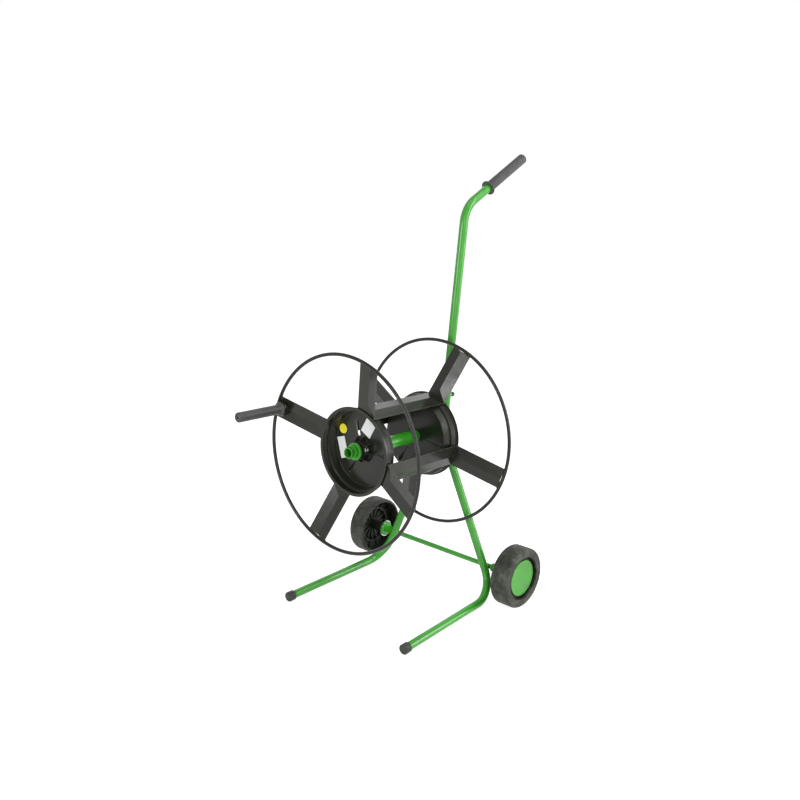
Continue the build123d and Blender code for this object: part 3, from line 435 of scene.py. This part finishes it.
# ---------------------------------------------------------------- pieces
def piece(name, build, body, material, replaced=()):
    """A new object from a bmesh builder, smooth shaded, riding on a body."""
    mesh = bpy.data.meshes.new(name)
    shape = bmesh.new()
    build(shape)
    bmesh.ops.recalc_face_normals(shape, faces=shape.faces)
    shape.to_mesh(mesh)
    shape.free()
    mesh.shade_smooth()
    thing = bpy.data.objects.new(name, mesh)
    bpy.context.scene.collection.objects.link(thing)
    mesh.materials.append(material)
    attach(thing, body)
    if replaced:
        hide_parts(*replaced)


def across(direction):
    """Two directions square to one."""
    first = direction.orthogonal().normalized()
    return first, direction.cross(first).normalized()


def skin(shape, rings, closed=False):
    """Quads between rings of points; open ends are closed with flat faces."""
    loops = [[shape.verts.new(point) for point in ring] for ring in rings]
    pairs = list(zip(loops, loops[1:]))
    if closed:
        pairs.append((loops[-1], loops[0]))
    for back, ahead in pairs:
        for i in range(len(back)):
            shape.faces.new((back[i - 1], back[i], ahead[i], ahead[i - 1]))
    if not closed:
        shape.faces.new(loops[0])
        shape.faces.new(loops[-1])


def lathe(shape, start, along, profile, ridges, depth):
    """Turn (place, radius, share of the ridges) points about an axis."""
    first, second = across(along)
    count = ridges * RIDGE_STEPS
    rings = []
    for place, radius, share in profile:
        ring = []
        for i in range(count):
            turn = 2 * pi * i / count
            dip = depth * share * (0.5 - 0.5 * cos(turn * ridges)) ** 2
            out = first * cos(turn) + second * sin(turn)
            ring.append(start + along * place + out * (radius - dip))
        rings.append(ring)
    skin(shape, rings)


def ring_bead(shape, centre, along, radius, thick, lumps, rough):
    """A ring of weld round a tube, or a smooth ring where rough is 0."""
    first, second = across(along)
    count = lumps * LUMP_STEPS
    rings = []
    for i in range(count):
        turn = 2 * pi * i / count
        out = first * cos(turn) + second * sin(turn)
        size = thick * (1 + rough * sin(turn * lumps)
                        + SWELL_SHARE * rough * sin(turn * SWELL_WAVES + SWELL_START))
        rings.append([centre + out * (radius + size * over) + along * size * beside
                      for over, beside in BEAD_CIRCLE])
    skin(shape, rings, closed=True)


def weld_run(shape, start, end, out, thick):
    """A short bead of weld with tapered ends between two points."""
    along = (end - start).normalized()
    side = along.cross(out).normalized()
    rings = []
    for i in range(RUN_STEPS + 1):
        share = i / RUN_STEPS
        taper = sin(pi * (RUN_TAPER_START + RUN_TAPER_LENGTH * share)) ** 0.5
        size = thick * taper * (1 + RUN_RIPPLE * sin(share * RUN_RIPPLE_TURN))
        centre = start.lerp(end, share)
        rings.append([centre + out * size * over + side * size * beside
                      for over, beside in BEAD_CIRCLE])
    skin(shape, rings)


def grip_profile(length, radius, guard):
    """Guard disc, flare, ridged grip and rounded end, as (place, radius, ridges)."""
    bead = MAST_GUARD_THICK / 2
    points = [(0.0, MAST_GUARD_FACE * guard, 0.0)]
    for k in range(MAST_GUARD_STEPS + 1):
        turn = pi * (k / MAST_GUARD_STEPS)
        points.append((bead - bead * cos(turn), guard - bead + bead * sin(turn), 0.0))
    straight = MAST_GUARD_THICK + MAST_GUARD_FLARE
    rounded = length - MAST_GRIP_ROUND
    points += [(MAST_GUARD_THICK + FLARE_BEND_ALONG * MAST_GUARD_FLARE,
                radius + FLARE_BEND_OUT * (guard - radius), 0.0),
               (straight, radius, 0.0), (straight + RIDGES_START, radius, 1.0),
               (rounded - RIDGES_END, radius, 1.0), (rounded, radius, 0.0)]
    for k in range(1, MAST_ROUND_STEPS + 1):
        turn = pi / 2 * k / MAST_ROUND_STEPS
        points.append((rounded + MAST_GRIP_ROUND * sin(turn),
                       radius - MAST_GRIP_ROUND + MAST_GRIP_ROUND * cos(turn), 0.0))
    return points


def make_mast_grip(material):
    """The mast's grip with lengthways ridges, in the place of its CAD solid."""
    low, high = (Vector(corner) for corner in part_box("mast_grip"))
    rise = radians(GRIP_RISE)
    guard = (high.x - low.x) / 2
    radius = guard - MAST_GUARD_OUT
    bead = MAST_GUARD_THICK / 2
    near = Vector((0, low.y + bead - bead * cos(rise) + (guard - bead) * sin(rise),
                   low.z + bead - bead * sin(rise) + (guard - bead) * cos(rise)))
    far_y = high.y - MAST_GRIP_ROUND * (1 - cos(rise)) - (radius - MAST_GRIP_ROUND) * sin(rise)
    length = (far_y - near.y) / cos(rise)
    profile = grip_profile(length, radius, guard)
    along = Vector((0, cos(rise), sin(rise)))
    piece("mast_grip_ridged",
          lambda shape: lathe(shape, near, along, profile, GRIP_RIDGES, RIDGE_DEPTH),
          "mast", material, ["mast_grip"])


def make_collar_welds(material):
    """Weld beads round the inner ends of the wheel collars."""
    for side in ("left", "right"):
        low, high = (Vector(corner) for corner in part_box(side + "_wheel_collar"))
        inner = high.x if side == "left" else low.x
        centre = Vector((inner, AXLE_Y, (low.z + high.z) / 2))
        piece(side + "_collar_weld", lambda shape: ring_bead(
            shape, centre, Vector((1, 0, 0)), COLLAR_WELD_R, COLLAR_WELD_THICK,
            COLLAR_WELD_LUMPS, COLLAR_WELD_ROUGH), "frame", material)


def make_spoke_welds(material):
    """Short beads at both edges of each arm, on both rims."""
    reach = degrees(asin(ARM_HALF_WIDTH / RIM_IN_R))
    radius = RIM_IN_R - SPOKE_WELD_IN

    def beads(shape):
        for angle in ARM_ANGLES:
            for ahead in (-RIM_AHEAD, RIM_AHEAD):
                inset = ahead * (1 - SPOKE_WELD_INSET / RIM_AHEAD)
                for side in (-1, 1):
                    edge = angle + side * reach
                    start = on_reel(radius, edge - side * SPOKE_WELD_ON, inset)
                    end = on_reel(radius, edge + side * SPOKE_WELD_PAST, inset)
                    out = (start.lerp(end, 0.5) - REEL_MIDDLE - REEL_AXIS * ahead).normalized()
                    weld_run(shape, start, end, out, SPOKE_WELD_THICK)

    piece("spoke_welds", beads, "reel", material)


def make_disc_rings(material):
    """Fine pressed rings round the bands of the two hub discs."""
    def rings(shape):
        for side in (-1, 1):
            for ahead in BAND_RINGS_AHEAD:
                ring_bead(shape, REEL_MIDDLE + REEL_AXIS * side * ahead, REEL_AXIS, BAND_R,
                          BAND_RING_THICK, BAND_RING_LUMPS, 0.0)

    piece("disc_rings", rings, "reel", material)


# ---------------------------------------------------------------- finishes of the CAD nodes
def dress(names, material):
    """Give CAD nodes a material, and smooth shading with crisp corners."""
    for name in names:
        node = NODES[name]
        node.data.materials.clear()
        node.data.materials.append(material)
        node.data.shade_smooth()
        smooth = node.modifiers.new("weighted", "WEIGHTED_NORMAL")
        smooth.keep_sharp = True


def make_object():
    """Dress every CAD node, and add the pieces that share their materials."""
    green = powder_coat("green_paint", GREEN, roughness=0.17, peel=0.00003, shine=0.42,
                        coat=0.1, edge_tone=1.3)
    # the black steel's edges and folds are nine times paler: a painted highlight, with some wear
    black = powder_coat("black_steel", BLACK_STEEL, roughness=0.21, peel=0.00005, shine=0.30,
                        coat=0.0, edge_tone=9.0)
    rim_black = powder_coat("rim_black", shade(BLACK_STEEL, RIM_SHADE), roughness=0.15,
                            peel=0.00003, shine=0.32, coat=0.0, edge_tone=2.0)
    worn_plastic = moulded_plastic("worn_plastic", BLACK_PLASTIC, 0.45, patch_scale=90.0,
                                   scuffed=3.2, grain_scale=280.0, grain_depth=0.0003)
    grip = grip_plastic("grip_plastic")

    dress(["left_side_tube", "right_side_tube", "mast_tube", "mast_socket", "reel_axle_tube",
           "wheel_axle_rod", "left_wheel_collar", "right_wheel_collar", "front_stop_collar",
           "rear_stop_ring", "hub_tube"], green)
    dress(["crank_arm", "top_arm", "right_arm", "bottom_arm", "front_hub_disc", "back_hub_disc",
           "boss_rivets"], black)
    dress(["front_rim", "back_rim"], rim_black)
    dress(["left_foot_cap", "right_foot_cap"], worn_plastic)
    dress(["front_hub_boss", "back_hub_boss", "left_wheel_hub", "right_wheel_hub",
           "left_wheel_bush", "right_wheel_bush", "front_bush", "back_bush", "crank_spacers"],
          moulded_plastic("black_plastic", BLACK_PLASTIC, 0.42))
    dress(["clamp_knob"], moulded_plastic("knob_plastic", KNOB_GREEN, 0.40))
    dress(["left_hub_cap", "right_hub_cap"], moulded_plastic("green_plastic", CAP_GREEN, 0.30))
    dress(["mast_grip", "crank_grip"], grip)
    dress(["left_tyre", "right_tyre"], tyre_rubber("tyre_rubber"))
    dress(["left_wheel_washer", "right_wheel_washer", "left_push_cap", "right_push_cap",
           "boss_screws", "stop_collar_screw", "crank_nut", "clamp_screw"],
          zinc_plate("zinc_steel", ZINC))
    # the crank bolt and washer are darkened: painted shade of the recess in the crank grip's end
    dress(["crank_washer", "crank_bolt"], zinc_plate("recess_shade_zinc", RECESS_SHADE_ZINC))
    dress(["dot_sticker"], label_film("yellow_label", YELLOW_LABEL, YELLOW_EDGE))
    dress(["panel_sticker"], label_film("white_label", WHITE_LABEL, WHITE_EDGE))
    dress(["diamond_sticker"], label_film("pale_label", PALE_LABEL, PALE_EDGE))

    make_mast_grip(grip)
    make_collar_welds(green)
    make_spoke_welds(black)
    make_disc_rings(black)


bpy.context.scene.view_settings.view_transform = "Standard"
make_stage()
make_world()
make_lamps()
make_camera()
make_object()
